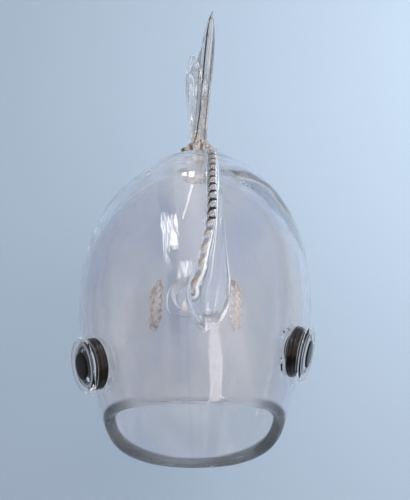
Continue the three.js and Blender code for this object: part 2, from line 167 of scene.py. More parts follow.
def arc(x, y, radius, start, end, steps):
    angles = np.radians(np.linspace(start, end, steps + 1))
    return [(x + radius * math.cos(angle), y + radius * math.sin(angle)) for angle in angles]


# ------------------------------------------------------------------ mesh making
UNFUSED = 9.0  # fuse value of a point far from every other piece
REACH = 6.0  # how far off another piece is looked for


class Piece:
    """A closed surface kept in the fish frame (mm) until it is linked."""

    def __init__(self, name, points, faces, attributes=None):
        self.name = name
        attributes = attributes or {}
        self.bm = bm = bmesh.new()
        layers = [bm.verts.layers.float.new(key) for key in attributes]
        verts = []
        for i, point in enumerate(points):
            vert = bm.verts.new(point)
            for values, layer in zip(attributes.values(), layers):
                vert[layer] = float(values[i])
            verts.append(vert)
        for face in faces:
            try:
                bm.faces.new([verts[i] for i in face])
            except ValueError:
                pass  # guards against a face that the boolean union returns twice
        bmesh.ops.remove_doubles(bm, verts=bm.verts, dist=0.004)
        bmesh.ops.dissolve_degenerate(bm, edges=bm.edges, dist=1e-4)
        loose = [vert for vert in bm.verts if not vert.link_faces]
        bmesh.ops.delete(bm, geom=loose, context="VERTS")
        self.refresh()

    def refresh(self):
        bmesh.ops.recalc_face_normals(self.bm, faces=self.bm.faces)
        self.bm.verts.ensure_lookup_table()
        self.tree = BVHTree.FromBMesh(self.bm)
        self.fuse = np.full(len(self.bm.verts), UNFUSED)

    def points(self):
        return np.array([vert.co for vert in self.bm.verts], float)

    def depth_of(self, points):
        """Signed distance of points to this piece, negative inside."""
        depths = np.full(len(points), UNFUSED)
        own = self.points()
        low = own.min(0) - REACH
        high = own.max(0) + REACH
        for i in np.where(((points > low) & (points < high)).all(1))[0]:
            point = Vector(points[i])
            nearest, normal, _, distance = self.tree.find_nearest(point, REACH)
            if nearest is not None:
                depths[i] = distance if (point - nearest).dot(normal) > 0 else -distance
        return depths

    def fused_to(self, *others):
        """Keeps the least distance of every point to the pieces this one is fused to."""
        points = self.points()
        for other in others:
            self.fuse = np.minimum(self.fuse, other.depth_of(points))

    def link(self, node, slot, material):
        mesh = bpy.data.meshes.new(self.name)
        self.bm.to_mesh(mesh)
        mesh.vertices.foreach_set("co", to_row(self.points()).astype(np.float32).ravel())
        fuse = mesh.attributes.new("fuse", "FLOAT", "POINT")
        fuse.data.foreach_set("value", self.fuse.astype(np.float32))
        mesh.polygons.foreach_set("use_smooth", [True] * len(mesh.polygons))
        mesh.materials.append(material)
        mesh.update()
        ob = bpy.data.objects.new(self.name, mesh)
        scene.collection.objects.link(ob)
        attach(ob, "root")
        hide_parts(node)


def grid(points):
    """Points (rows, around, 3) to vertices and quads, closed around."""
    rows, columns, _ = points.shape
    row, column = np.meshgrid(np.arange(rows - 1), np.arange(columns), indexing="ij")
    here = row * columns + column
    beside = row * columns + (column + 1) % columns
    faces = np.stack([here, beside, beside + columns, here + columns], -1).reshape(-1, 4)
    return points.reshape(-1, 3), faces.tolist()


def surface(name, place, rows, segments, attributes=None):
    """place(along, around) gives the points. Both run from 0 to 1, and rows are the values of
    along. Attributes are functions of the same two."""
    along, around = np.meshgrid(rows, np.arange(segments) / segments, indexing="ij")
    values = {key: value(along, around).ravel() for key, value in (attributes or {}).items()}
    return Piece(name, *grid(place(along, around)), values)


def even_rows(steps):
    return np.linspace(0, 1, steps + 1)


# attributes that carry the place on a surface to its material
PLACE = {"around": lambda along, around: around, "along": lambda along, around: along}


def turned(name, profile, segments, matrix):
    """Profile (radius, height) turned about local Y, then put in place by the matrix."""
    profile = np.array(profile, float)
    angle = 2 * np.pi * np.arange(segments) / segments
    radius = profile[:, :1] * np.ones(segments)
    height = profile[:, 1:] * np.ones(segments)
    points = np.stack([radius * np.sin(angle), height, radius * np.cos(angle)], -1)
    matrix = np.array(matrix)
    return Piece(name, *grid(points @ matrix[:3, :3].T + matrix[:3, 3]))


# ------------------------------------------------------------------ blown body
LIP_THICKNESS = 5.9
# (elevation round the mouth in degrees, station of the lip)
lip_edge = curve([(-90, -5.2), (-75, -5.1), (-60, -4.8), (-45, -3.9), (-30, -2.4), (-20, -0.9),
                  (-10, 1.4), (0, 4.2), (10, 6.7), (20, 8.3), (35, 9.0), (50, 8.7), (70, 7.9),
                  (90, 7.5)], flat_ends=True)
# shares of the profile where the outside ends and where the rounded lip ends
OUTSIDE_END, LIP_END = 0.44, 0.58
# soft unevenness of the walls: (amplitude, waves around, radians per mm along, phase)
OUTER_WAVES = [(0.07, 3, 0.021, 0.6), (0.03, 5, -0.034, 0), (0.015, 2, 0.09, 0)]
INNER_WAVES = [(0.08, 2, -0.03, 2.0), (0.03, 7, 0.03, 0), (0.015, -3, 0.12, 0)]


def waves(table, angle, station):
    return sum(size * np.sin(count * angle + pace * station + phase)
               for size, count, pace, phase in table)


def shell_point(along, around):
    """Profile from the tail pole down the outside, round the lip and back up the inside."""
    angle = 2 * np.pi * around
    edge = lip_edge(np.degrees(np.arcsin(np.sin(np.pi / 2 - angle))))
    slope = body_slope(edge)
    shrink = 1 / np.hypot(1, slope)
    half = LIP_THICKNESS / 2

    climb = np.sin(np.pi / 2 * np.clip(1 - along / OUTSIDE_END, 0, 1))
    outside_station = edge + (BODY_LENGTH - edge) * climb

    turn = np.pi * np.clip((along - OUTSIDE_END) / (LIP_END - OUTSIDE_END), 0, 1)
    cosine, sine = np.cos(turn), np.sin(turn)
    lip_radius = (body_radius(edge) - half * shrink
                  + half * (cosine * shrink - sine * slope * shrink))
    lip_station = (edge + half * slope * shrink
                   + half * (-cosine * slope * shrink - sine * shrink))

    start = edge + LIP_THICKNESS * slope * shrink
    climb = np.sin(np.pi / 2 * np.clip((along - LIP_END) / (1 - LIP_END), 0, 1))
    inside_station = start + (INNER_POLE - start) * climb
    thickening = ((LIP_THICKNESS - WALL_THICKNESS) * np.exp(-(inside_station - start) / 12)
                  * np.hypot(1, body_slope(inside_station)) * (inside_station < 100))
    inside_radius = inner_radius(inside_station) - thickening

    outside = along < OUTSIDE_END
    lip = (along >= OUTSIDE_END) & (along < LIP_END)
    radius = np.where(outside, body_radius(outside_station),
                      np.where(lip, lip_radius, inside_radius))
    station = np.where(outside, outside_station, np.where(lip, lip_station, inside_station))
    # the waves fade at the poles
    fade = np.clip(radius / 20, 0, 1)
    outer = waves(OUTER_WAVES, angle, station)
    inner = waves(INNER_WAVES, angle, station) * np.clip((station - start) / 10, 0, 1)
    radius = radius + fade * np.where(outside | lip, outer, 0.35 * outer + inner)
    radius = np.where((along <= 0) | (along >= 1), 0, radius)
    return np.stack([radius * np.sin(angle), station - AXIS_ORIGIN, radius * np.cos(angle)], -1)


def lip_shade_mask(along, around):
    """Mask of the painted shade on the lip: highest on the rounded lip, fading up the wall either
    way and towards the mouth's top.
    """
    # near the lip, the whole profile would cover about this many mm
    outside_scale, inside_scale = 535, 560
    flank = np.abs(np.sin(2 * np.pi * around)) ** 1.5
    outside = outside_scale * (OUTSIDE_END - along) / (0.6 + 1.2 * flank)
    inside = inside_scale * (along - LIP_END) / (0.7 + 2.6 * flank)
    away = np.where(along < OUTSIDE_END, outside, np.where(along > LIP_END, inside, 0))
    fade = np.clip((away - 0.3) / 0.7, 0, 1)
    top = np.clip((np.cos(2 * np.pi * around) - 0.35) / 0.45, 0, 1)
    return (1 - fade * fade * (3 - 2 * fade)) * (1 - 0.9 * top) * (0.75 + 0.25 * flank)


# (from, to, count) of the profile rows, closest round the lip
SHELL_ROWS = [(0, 0.425, 90), (0.33, 0.425, 40), (0.425, OUTSIDE_END, 12),
              (OUTSIDE_END, LIP_END, 25), (LIP_END, 0.6, 12), (0.6, 1, 84)]
shell_rows = np.unique(np.concatenate([np.linspace(*span) for span in SHELL_ROWS]))
shell = surface("body_shell_glass", shell_point, shell_rows, 320, {"lip": lip_shade_mask})

# ------------------------------------------------------------------ eyes
# name, side, station, lift round the body and droop of the face in degrees, depth pressed in
EYES = [("left", -1, 29.8, 27.5, 0.0, 0.0), ("right", 1, 35.4, 27.5, 14.5, 1.0)]
LENS_R, EYE_HEIGHT, WRAP_TOP, NECK_R, PUPIL_R = 13.3, 7.4, 4.0, 8.0, 6.6
ROOT = -6  # height of the eye's root, inside the body
LENS_EDGE_R, PUPIL_EDGE_R = 1.6, 0.75
WRAP_BED, LENS_BED = 1.3, 1.4  # deepest reach of the roots into the body

# profiles (radius, height over the body)
WRAP_PROFILE = [
    (NECK_R - 0.1, ROOT), (9.0, ROOT), (9.4, -2.2), (10.6, -1.2),
    *arc(11.0, 0.35, 1.25, -60, 62, 9),
    *arc(11.15, 2.0, 1.05, -40, 66, 8),
    *arc(10.3, 2.95, 1.0, -16, 84, 9),
    (9.2, WRAP_TOP - 0.05), (NECK_R + 0.5, WRAP_TOP - 0.1), (NECK_R - 0.1, WRAP_TOP - 0.5),
    (NECK_R - 0.1, ROOT),
]
LENS_PROFILE = [
    (0, ROOT), (4, ROOT), (NECK_R, ROOT), (NECK_R, -2), (NECK_R, 1), (NECK_R, 3.3),
    (8.15, 3.95), (8.6, 4.25), (9.4, 4.3), (10.4, 4.3), (11.2, 4.36),
    *arc(LENS_R - LENS_EDGE_R, WRAP_TOP + 1.9, LENS_EDGE_R, -72, 78, 20),
    (11.2, 7.36), (10.5, 7.19), (9.8, 7.13), (9.1, 7.2), (8.4, 7.32), (7.6, 7.43),
    (6.8, 7.48), (4, 7.5), (0, 7.5),
]
PUPIL_PROFILE = [
    (0, EYE_HEIGHT - 1.5), (PUPIL_R - 0.6, EYE_HEIGHT - 1.5),
    *arc(PUPIL_R - 0.5, EYE_HEIGHT - 1.0, 0.5, -90, 0, 4),
    *arc(PUPIL_R - PUPIL_EDGE_R, EYE_HEIGHT - 0.15, PUPIL_EDGE_R, 5, 78, 7),
    (4.2, EYE_HEIGHT + 0.66), (2, EYE_HEIGHT + 0.72), (0, EYE_HEIGHT + 0.73),
]


def eye_frame(side, station, lift, droop, pressed):
    """Matrix with local Y out of the body at the eye and local X towards the mouth."""
    around = math.radians(lift)
    face = math.radians(lift - droop)
    radius = float(body_radius(station))
    slope = float(body_slope(station))
    outward = Vector((side * math.cos(face), -slope, math.sin(face))).normalized()
    place = Vector((side * radius * math.cos(around), station - AXIS_ORIGIN,
                    radius * math.sin(around))) - outward * pressed
    forward = Vector((0, -1, 0))
    forward = (forward - outward * forward.dot(outward)).normalized()
    across = forward.cross(outward)
    return Matrix([*zip(forward, outward, across, place), (0, 0, 0, 1)])


def bedded(piece, matrix, depth):
    """Draws an eye's root up along the eye's axis until it lies no deeper than this."""
    outward = matrix.col[1].to_3d()
    for vert in piece.bm.verts:
        for _ in range(12):
            reached = body_depth(np.array(vert.co))
            if reached > -depth - 0.01:
                break
            vert.co = vert.co + outward * (-depth - reached)
    bmesh.ops.dissolve_degenerate(piece.bm, edges=piece.bm.edges, dist=1e-4)
    piece.refresh()
    return piece


eyes = {}
for name, *where in EYES:
    matrix = eye_frame(*where)
    wrap = turned(f"{name}_eye_wrap_glass", WRAP_PROFILE, 96, matrix)
    lens = turned(f"{name}_eye_lens_glass", LENS_PROFILE, 96, matrix)
    eyes[name] = (bedded(wrap, matrix, WRAP_BED), bedded(lens, matrix, LENS_BED),
                  turned(f"{name}_eye_pupil_glass", PUPIL_PROFILE, 72, matrix))

# ------------------------------------------------------------------ tail collar
COLLAR_R, COLLAR_SHIFT, COLLAR_PLEATS = 10.1, -1.1, 11
# (radius, y), rounded below
COLLAR_PROFILE = [(0, 52.5), (6, 52.5), (8.2, 57.6), (COLLAR_R + 0.5, 60.2),
                  (COLLAR_R + 0.5, 61.9), (8.0, 63.2), (6.2, 65.6), (5.4, 68.2), (0, 69.2)]


def rounded(profile, cuts):
    """Rounds a profile by Chaikin cutting."""
    points = np.array(profile, float)
    for _ in range(cuts):
        cut = []
        for here, after in zip(points[:-1], points[1:]):
            cut += [here * 0.75 + after * 0.25, here * 0.25 + after * 0.75]
        points = np.array([points[0]] + cut + [points[-1]])
    return points


collar_profile = rounded(COLLAR_PROFILE, cuts=3)


def collar_point(along, around):
    numbers = np.arange(len(collar_profile))
    at = along * (len(collar_profile) - 1)
    radius = np.interp(at, numbers, collar_profile[:, 0])
    y = np.interp(at, numbers, collar_profile[:, 1])
    angle = 2 * np.pi * around
    pleat = 0.055 * np.cos(COLLAR_PLEATS * angle) * np.clip(radius / COLLAR_R, 0, 1) ** 1.5
    radius = radius * (1 + pleat)
    return np.stack([radius * np.sin(angle) + COLLAR_SHIFT, y, radius * np.cos(angle)], -1)


collar = surface("tail_collar_glass", collar_point, even_rows(72), 176, PLACE)

# ------------------------------------------------------------------ tail fin
TAIL_ROOT = 67.4  # y
ROOT_LEAN = -2.0  # x
ROOT_SHARE = 0.02  # share of the rows spent on closing the root
# (height share from -1 bottom to 1 top, y, z) of the rear edge
TAIL_EDGE = [(-1, 112, -6), (-0.75, 118.2, 6), (-0.45, 118.6, 17), (-0.1, 107, 27),
             (0.15, 101, 35), (0.45, 105, 46), (0.8, 111.5, 57), (1, 112.5, 61)]
edge_y = curve([(share, y) for share, y, z in TAIL_EDGE], flat_ends=True)
edge_z = curve([(share, z) for share, y, z in TAIL_EDGE])
# (height share, x of the rear edge)
tail_lean = curve([(-1, -11), (-0.45, -8.9), (0.15, -3.5), (0.45, 0.1), (1, 3.1)])
# (share of the way from root to edge, half thickness)
tail_half = curve([(0, 4.6), (0.15, 4.2), (0.4, 3.8), (0.75, 4.1), (0.88, 3.5), (0.95, 2.5),
                   (1, 1.6)])


def tail_point(along, around):
    """A fan of quadratic curves from the root to the rear edge, with a rounded thickness."""
    angle = 2 * np.pi * around
    height = np.cos(angle)
    out = np.clip((along - ROOT_SHARE) / (1 - ROOT_SHARE), 0, 1)
    root, middle, edge = (1 - out) ** 2, 2 * out * (1 - out), out * out
    y = root * TAIL_ROOT + middle * (86 - 3 * np.abs(height) - 2 * height) + edge * edge_y(height)
    z = root * 4.8 * height + middle * (5 + 15 * height) + edge * edge_z(height)
    lean = (ROOT_LEAN + 1.3 * height * (1 - out)
            + out ** 1.2 * (tail_lean(height) - ROOT_LEAN))
    ribs = 0.15 * np.cos(2 * np.pi * 2.5 * height) * np.minimum(1, out * 2.5)
    half = tail_half(out) * (1 + ribs)
    half = half * np.sqrt(np.maximum(0, 1 - np.maximum(0, (out - 0.92) / 0.08) ** 2))
    side = half * signed_power(np.sin(angle), 0.55)
    start = along <= 0
    return np.stack([lean + np.where(start, 0, side), np.where(start, TAIL_ROOT, y),
                     np.where(start, 0, z)], -1)


tail_rows = ROOT_SHARE + (1 - ROOT_SHARE) * np.sin(np.pi / 2 * np.linspace(0, 1, 110))
tail = surface("tail_fin_glass", tail_point, np.concatenate([[0], tail_rows]), 168, PLACE)

# ------------------------------------------------------------------ dorsal fin
FIN_FROM, FIN_TO = 32.6, 139  # stations
SINK = 3  # depth of the fin's foot in the body
FIN_FRONT, FIN_REAR = 0.07, 0.04  # shares of the length that are rounded off
# (station, x of the foot)
fin_base = curve([
    (32.6, 4.4), (36, 5.0), (41, 6.4), (50, 7.2), (55, 7.5), (60, 8.1), (70, 9.0), (80, 9.3),
    (92, 9.2), (110, 8.5), (127, 7.2), (138, 6.2), (146, 5.4)])
# (station, half width of the foot)
fin_half = curve([
    (32.6, 2.6), (36, 4.6), (41, 7.2), (45, 8.7), (50, 9.6), (55, 9.3), (60, 8.2), (66, 6.8),
    (76, 5.1), (92, 4.0), (110, 3.5), (127, 3.3), (138, 2.2), (146, 1.5)])
# (station, height over the body)
fin_height = curve([
    (32.6, 1.2), (36, 2.6), (41, 5), (47, 9), (54, 12.5), (60, 14.5), (76, 16), (92, 15.8),
    (110, 14), (127, 10.5), (134, 7), (139, 3.5), (146, 2.4)])
# (station, x of the crest)
crest_x = curve([
    (32.6, 4.4), (36, 3.4), (38, 2.3), (41, 0.8), (45, -0.6), (50, -0.7), (54, 1.1), (58, 2.7),
    (64, 3.9), (70, 5.3), (80, 7.1), (90, 7.5), (100, 7.3), (110, 7.2), (120, 7.1),
    (128, 6.9), (138, 6.1), (146, 5.4)])


def fin_floor(station):
    return np.sqrt(np.maximum(body_radius(station) ** 2 - fin_base(station) ** 2, 0)) - SINK


def fin_point(along, around):
    station = FIN_FROM + (FIN_TO - FIN_FROM) * along
    angle = 2 * np.pi * around
    end = round_ends(along, FIN_FRONT, FIN_REAR)
    rise = (1 - np.cos(angle)) / 2  # 0 at the foot, 1 at the crest
    sine = np.sin(angle)
    width = 1.5 * fin_half(station) * (1 - rise) ** 1.15 + 2.0 * rise
    lean = (crest_x(station) - fin_base(station)) * rise ** 1.25
    # a second ridge low on the right flank, a crease over it, and a hollow on the left flank
    right = np.clip(sine * 3, 0, 1)
    left = np.clip(-sine * 3, 0, 1)
    reach = np.clip((station - FIN_FROM) / 8, 0, 1) * np.clip((112 - station) / 40, 0, 1)
    ridge = 1.15 * np.exp(-((rise - 0.47) / 0.085) ** 2)
    crease = 1.25 * np.exp(-((rise - 0.8) / 0.1) ** 2)
    fold = right * reach * (ridge - crease)
    hollow = left * reach * -0.7 * np.exp(-((rise - 0.6) / 0.16) ** 2)
    x = (fin_base(station) + (lean + signed_power(sine, 0.75) * width) * end
         + (fold * 0.6 - hollow * 0.6) * end)
    z = (fin_floor(station) + (fin_height(station) + SINK) * rise * end
         + (fold + hollow) * 0.8 * end)
    return np.stack([x, station - AXIS_ORIGIN, z], -1)


fin_rows = np.unique(np.concatenate([
    FIN_FRONT * (1 - np.cos(np.pi / 2 * np.linspace(0, 1, 24))),
    np.linspace(FIN_FRONT, 1 - FIN_REAR, 150),
    1 - FIN_REAR * (1 - np.sin(np.pi / 2 * np.linspace(0, 1, 20)))]))
fin = surface("dorsal_fin_glass", fin_point, fin_rows, 160, PLACE)

# ------------------------------------------------------------------ twisted trail on the crest
TRAIL_FROM, TRAIL_TO, TRAIL_STEP = 47, 145, 0.25  # stations and their step
trail_radius = curve([(43, 1.2), (60, 1.35), (85, 1.85), (145, 1.9)])  # (station, radius)
trail_pitch = curve([(43, 8.4), (60, 7), (85, 4.8), (145, 4.5)])  # (station, mm per turn)
trail_stations = np.arange(TRAIL_FROM, TRAIL_TO + 1, TRAIL_STEP)
trail_turns = np.concatenate([
    [0], np.cumsum(2 * np.pi * TRAIL_STEP / trail_pitch(trail_stations))])


def trail_station(along):
    return TRAIL_FROM + (TRAIL_TO - TRAIL_FROM) * along


def twist(station):
    """Angle the trail has turned through by this station."""
    steps = (station - TRAIL_FROM) / TRAIL_STEP
    return np.interp(steps, np.arange(len(trail_turns)), trail_turns)


def trail_centre(station):
    z = fin_floor(station) + SINK + fin_height(station) - 0.5
    return np.stack([crest_x(station), station - AXIS_ORIGIN, z], -1)


def trail_point(along, around):
    station = trail_station(along)
    angle = 2 * np.pi * around
    tangent = trail_centre(station + 0.2) - trail_centre(station - 0.2)
    tangent /= np.linalg.norm(tangent, axis=-1, keepdims=True)
    across = np.zeros_like(tangent)
    across[..., 0] = 1
    across = across - tangent * tangent[..., :1]
    across /= np.linalg.norm(across, axis=-1, keepdims=True)
    upward = np.cross(across, tangent)
    # overlapping beads: the trail swells and pinches once a turn
    turn = twist(station)
    pinch = np.abs(np.cos(0.5 * (turn + 1.1 * np.cos(angle)))) ** 6
    bead = 1 + 0.12 * np.cos(turn + angle) + 0.17 * (0.35 - pinch)
    radius = trail_radius(station) * round_ends(along, 0.012, 0.012) * bead
    return (trail_centre(station) + across * (radius * np.cos(angle))[..., None]
            + upward * (radius * np.sin(angle))[..., None])


trail = surface("dorsal_crest_trail_glass", trail_point, even_rows(700), 36, {
    "turn": lambda along, around: twist(trail_station(along)) + 2 * np.pi * around,
    "along": PLACE["along"],
    "side": lambda along, around: np.cos(2 * np.pi * around)})

# ------------------------------------------------------------------ belly fins
FOOT_LATERAL, FOOT_SPLAY = 22.5, 4.5  # x of the root, and how far the lower edge stands out
FOOT_FROM, FOOT_TO, PLEAT = 78.5, 107.5, 4.7  # stations and the pitch of the pleats


def belly_fin_place(side):
    def place(along, around):
        angle = 2 * np.pi * around
        down = (1 - np.cos(angle)) / 2  # 0 at the root, 1 at the lower edge
        end = blunt_ends(along, 5)
        spread = (along - 0.5) * (0.92 + 0.12 * down)
        station = FOOT_FROM + (FOOT_TO - FOOT_FROM) * (0.5 + spread)
        y = station - AXIS_ORIGIN
        top = -np.sqrt(body_radius(station) ** 2 - FOOT_LATERAL ** 2) + 3
        low = floor_z(y) - 1.6
        wave = 1.25 * np.sin(2 * np.pi * station / PLEAT) * (0.3 + 0.7 * down)
        thick = signed_power(np.sin(angle), 0.7) * (3.1 - 0.5 * down) * end
        x = side * (FOOT_LATERAL + FOOT_SPLAY * down + wave + thick)
        # what would go under the floor is pressed flat onto it
        return np.stack([x, y, np.maximum(top + (low - top) * down, floor_z(y))], -1)
    return place


belly_fins = {name: surface(f"{name}_belly_fin_glass", belly_fin_place(side), even_rows(150), 64)
              for name, side in (("left", -1), ("right", 1))}

# ------------------------------------------------------------------ belly pad
STRAP_ANGLE = 18.5  # half its reach round the belly, in degrees
STRAP_STATION, STRAP_HALF = 95.5, 11  # middle and half length along the body
PAD_R, PAD_EDGE_R = 8.5, 1.1


def strap_point(along, around):
    """A low band laid across the underside of the body."""
    across = np.radians(-STRAP_ANGLE + 2 * STRAP_ANGLE * along)
    angle = 2 * np.pi * around
    end = blunt_ends(along, 8)
    station = STRAP_STATION + STRAP_HALF * signed_power(np.cos(angle), 0.6) * end
    radius = body_radius(station) + 0.5 + 2.6 * signed_power(np.sin(angle), 0.8) * end
    return np.stack([radius * np.sin(across), station - AXIS_ORIGIN,
                     -radius * np.cos(across)], -1)


def pad_matrix():
    """The button is turned about the vertical of the row frame, standing on the floor."""
    stand = Matrix(((1, 0, 0, PAD_CENTRE[0]), (0, 0, -1, PAD_Y), (0, 1, 0, 0), (0, 0, 0, 1)))
    tilted = Matrix.Translation((0, 0, BELLY_HEIGHT)) @ Matrix.Rotation(-TILT, 4, "X")
    return tilted.inverted() @ stand


def joined(name, first, second):
    """Boolean union of two pieces."""
    obs = []
    for piece in (first, second):
        mesh = bpy.data.meshes.new(piece.name)
        piece.bm.to_mesh(mesh)
        ob = bpy.data.objects.new(piece.name, mesh)
        scene.collection.objects.link(ob)
        obs.append(ob)
    union = obs[0].modifiers.new("join", "BOOLEAN")
    union.operation = "UNION"
    union.solver = "EXACT"
    union.object = obs[1]
    depsgraph = bpy.context.evaluated_depsgraph_get()
    mesh = bpy.data.meshes.new_from_object(obs[0].evaluated_get(depsgraph))
    points = [tuple(vert.co) for vert in mesh.vertices]
    faces = [tuple(face.vertices) for face in mesh.polygons]
    for ob in obs:
        bpy.data.objects.remove(ob)
    return Piece(name, points, faces)


# (radius, height over the floor)
BUTTON_PROFILE = [
    (0, 0), (2.5, 0), (5, 0), (7.0, 0),
    *arc(PAD_R - PAD_EDGE_R, PAD_EDGE_R, PAD_EDGE_R, -86, 12, 9),
    (8.9, 3.2), (9.4, 5.2), (10.2, 7.6), (11.2, 9.8), (11.8, 11.4), (11.4, 12.4), (6, 12.6),
    (0, 12.6),
]
strap = surface("belly_strap_tmp", strap_point, even_rows(110), 96)
button = turned("belly_button_tmp", BUTTON_PROFILE, 96, pad_matrix())
pad = joined("belly_pad_glass", strap, button)

# ------------------------------------------------------------------ fused joints
on_body = [collar, fin, trail, pad, *belly_fins.values()]
for wrap, lens, pupil in eyes.values():
    on_body += [wrap, lens]
    wrap.fused_to(lens)
    pupil.fused_to(lens)
shell.fused_to(*on_body)
for piece in on_body:
    piece.fused_to(shell)
for first, second in ((collar, tail), (fin, trail)):
    first.fused_to(second)
    second.fused_to(first)


# ------------------------------------------------------------------ node trees
class Net:
    """The node tree of a material or world: net("NodeType", {property: value}, Input_Name=value
    or socket). input_2 stands for input number 2. Colours are (r, g, b)."""

    def __init__(self, owner, seed=0.0):
        self.owner = owner
        self.seed = seed
        owner.use_nodes = True
        self.tree = owner.node_tree
        self.tree.nodes.clear()

    def __call__(self, kind, settings=None, **inputs):
        node = self.tree.nodes.new(kind)
        for key, value in (settings or {}).items():
            setattr(node, key, value)
        for key, value in inputs.items():
            number = key.removeprefix("input_")
            socket = node.inputs[int(number) if number.isdigit() else key.replace("_", " ")]
            if isinstance(value, bpy.types.NodeSocket):
                self.tree.links.new(value, socket)
            elif socket.type == "RGBA":
                socket.default_value = (*value, 1)
            else:
                socket.default_value = value
        return node

    def math(self, operation, first, second=0.0, third=0.0):
        return self("ShaderNodeMath", {"operation": operation},
                    input_0=first, input_1=second, input_2=third).outputs[0]

    def times(self, first, second):
        return self.math("MULTIPLY", first, second)

    def plus(self, first, second):
        return self.math("ADD", first, second)

    def minus(self, first, second):
        return self.math("SUBTRACT", first, second)

    def larger(self, first, second):
        return self.math("MAXIMUM", first, second)

    def gap(self, value, at):
        return self.math("ABSOLUTE", self.minus(value, at))

    def step(self, value, over, to=(0.0, 1.0)):
        """Smooth step from to[0] at over[0] to to[1] at over[1]."""
        return self("ShaderNodeMapRange", {"interpolation_type": "SMOOTHSTEP"}, Value=value,
                    From_Min=over[0], From_Max=over[1], To_Min=to[0], To_Max=to[1]).outputs[0]

    def line(self, value, at, over):
        """Strongest where the value is at this number, fading over these distances from it."""
        return self.step(self.gap(value, at), over)

    def attribute(self, name):
        return self("ShaderNodeAttribute", {"attribute_name": name,
                                            "attribute_type": "GEOMETRY"}).outputs["Fac"]

    def ramp(self, value, stops):
        node = self("ShaderNodeValToRGB", Fac=value)
        elements = node.color_ramp.elements
        while len(elements) < len(stops):
            elements.new(0.5)
        for element, (position, colour) in zip(elements, stops):
            element.position = position
            element.color = (*colour, 1)
        return node.outputs["Color"]

    def mix(self, factor, first, second):
        return self("ShaderNodeMixShader", input_0=factor, input_1=first,
                    input_2=second).outputs[0]

    def blend(self, factor, first, second):
        return self("ShaderNodeMix", {"data_type": "RGBA"}, input_0=factor, input_6=first,
                    input_7=second).outputs[2]

    def noise(self, scale, detail=2.0, stretch=(1, 1, 1), distortion=0.0, seed=0.0):
        place = self("ShaderNodeTexCoord").outputs["Object"]
        moved = self("ShaderNodeMapping", Vector=place, Scale=stretch,
                     Location=(seed, seed * 0.7, 0)).outputs[0]
        return self("ShaderNodeTexNoise", Vector=moved, Scale=scale, Detail=detail,
                    Distortion=distortion).outputs["Fac"]

    def waver(self, value, amount, **noise):
        return self.plus(value, self.times(self.minus(self.noise(**noise), 0.5), amount))

    def bump(self, height, depth):
        """Depth in mm."""
        return self("ShaderNodeBump", Height=height, Strength=1.0, Distance=depth * MM).outputs[0]

    def gloss(self, colour, roughness, **inputs):
        return self("ShaderNodeBsdfPrincipled", Base_Color=colour, Roughness=roughness, IOR=1.5,
                    **inputs).outputs[0]

    def clear(self, colour, bump, roughness=0.0, **inputs):
        return self.gloss(colour, roughness, Transmission_Weight=1.0, Normal=bump, **inputs)

    def output(self, shader, kind="Material"):
        self("ShaderNodeOutput" + kind, Surface=shader)
        return self.owner


def new_net(name, seed=0.0):
    return Net(bpy.data.materials.new(name), seed)


# ------------------------------------------------------------------ layers of the clear glasses
OUTSIDE_JOINT = (-0.03, 0.03)  # fuse values over which a surface comes out of a joint
COOL_SHADE = (0.95, 0.955, 0.96)  # what shadow and diffuse rays see through the glass
WARM_SHADE = (0.9, 0.87, 0.85)


def open_to_light(net, shader, shade):
    """Output that is open to light inside a joint and clear to lamps everywhere."""
    rays = net("ShaderNodeLightPath").outputs
    lamp = net.larger(rays["Is Shadow Ray"], rays["Is Diffuse Ray"])
    through = net("ShaderNodeBsdfTransparent", Color=shade).outputs[0]
    inside = net("ShaderNodeBsdfTransparent", Color=(1, 1, 1)).outputs[0]
    # light running round and round in the wall is let out in the end
    lamp = net.larger(lamp, net.math("GREATER_THAN", rays["Ray Depth"], 10.5))
    outside = net.step(net.attribute("fuse"), over=OUTSIDE_JOINT)
    return net.output(net.mix(outside, inside, net.mix(lamp, shader, through)))


def cords(net, depth):
    """Long faint ripples drawn out along the fish, with a finer grain."""
    ripple = net.noise(scale=60, stretch=(1, 0.22, 1), distortion=0.6, seed=net.seed)
    ripple = net.times(ripple, 0.75)
    grain = net.noise(scale=230, detail=1, stretch=(1, 0.5, 1), seed=net.seed + 3)
    return net.bump(net.plus(ripple, net.times(grain, 0.08)), depth)


def tinted(net, tint):
    """The tint, slightly deeper in long patches."""
    patches = net.noise(scale=22, detail=1, stretch=(1, 0.4, 1), seed=net.seed + 7)
    deeper = [part * share for part, share in zip(tint, (0.975, 0.972, 0.978))]
    return net.blend(patches, tint, deeper)


def milky(net, shader, bump, amount):
    """Flesh-coloured clouds."""
    spots = net.noise(scale=230, detail=3, stretch=(1, 1, 0.5), distortion=0.4,
                      seed=net.seed + 1)
    flesh = net.blend(net.step(spots, over=(0.46, 0.6)), (0.98, 0.93, 0.90), (0.64, 0.48, 0.39))
    haze = net.gloss(flesh, roughness=0.15, Normal=bump)
    clouds = net.noise(scale=150, detail=3, distortion=0.6, seed=net.seed + 9)
    clouds = net.step(clouds, over=(0.28, 0.56), to=(0.15, 1.0))
    return net.mix(net.times(clouds, amount), shader, haze)


def veiled(net, shader, amount, colour):
    """Faint pale veils and fine streaks along the fish."""
    veils = net.noise(scale=17, detail=3, stretch=(1, 0.3, 1), distortion=0.9, seed=net.seed + 4)
    veils = net.step(veils, over=(0.46, 0.74))
    streaks = net.noise(scale=70, stretch=(1, 0.12, 1), distortion=0.4, seed=net.seed + 6)
    streaks = net.times(net.step(streaks, over=(0.6, 0.78)), 0.8)
    haze = net.gloss(colour, roughness=0.3)
    return net.mix(net.times(net.larger(veils, streaks), amount), shader, haze)


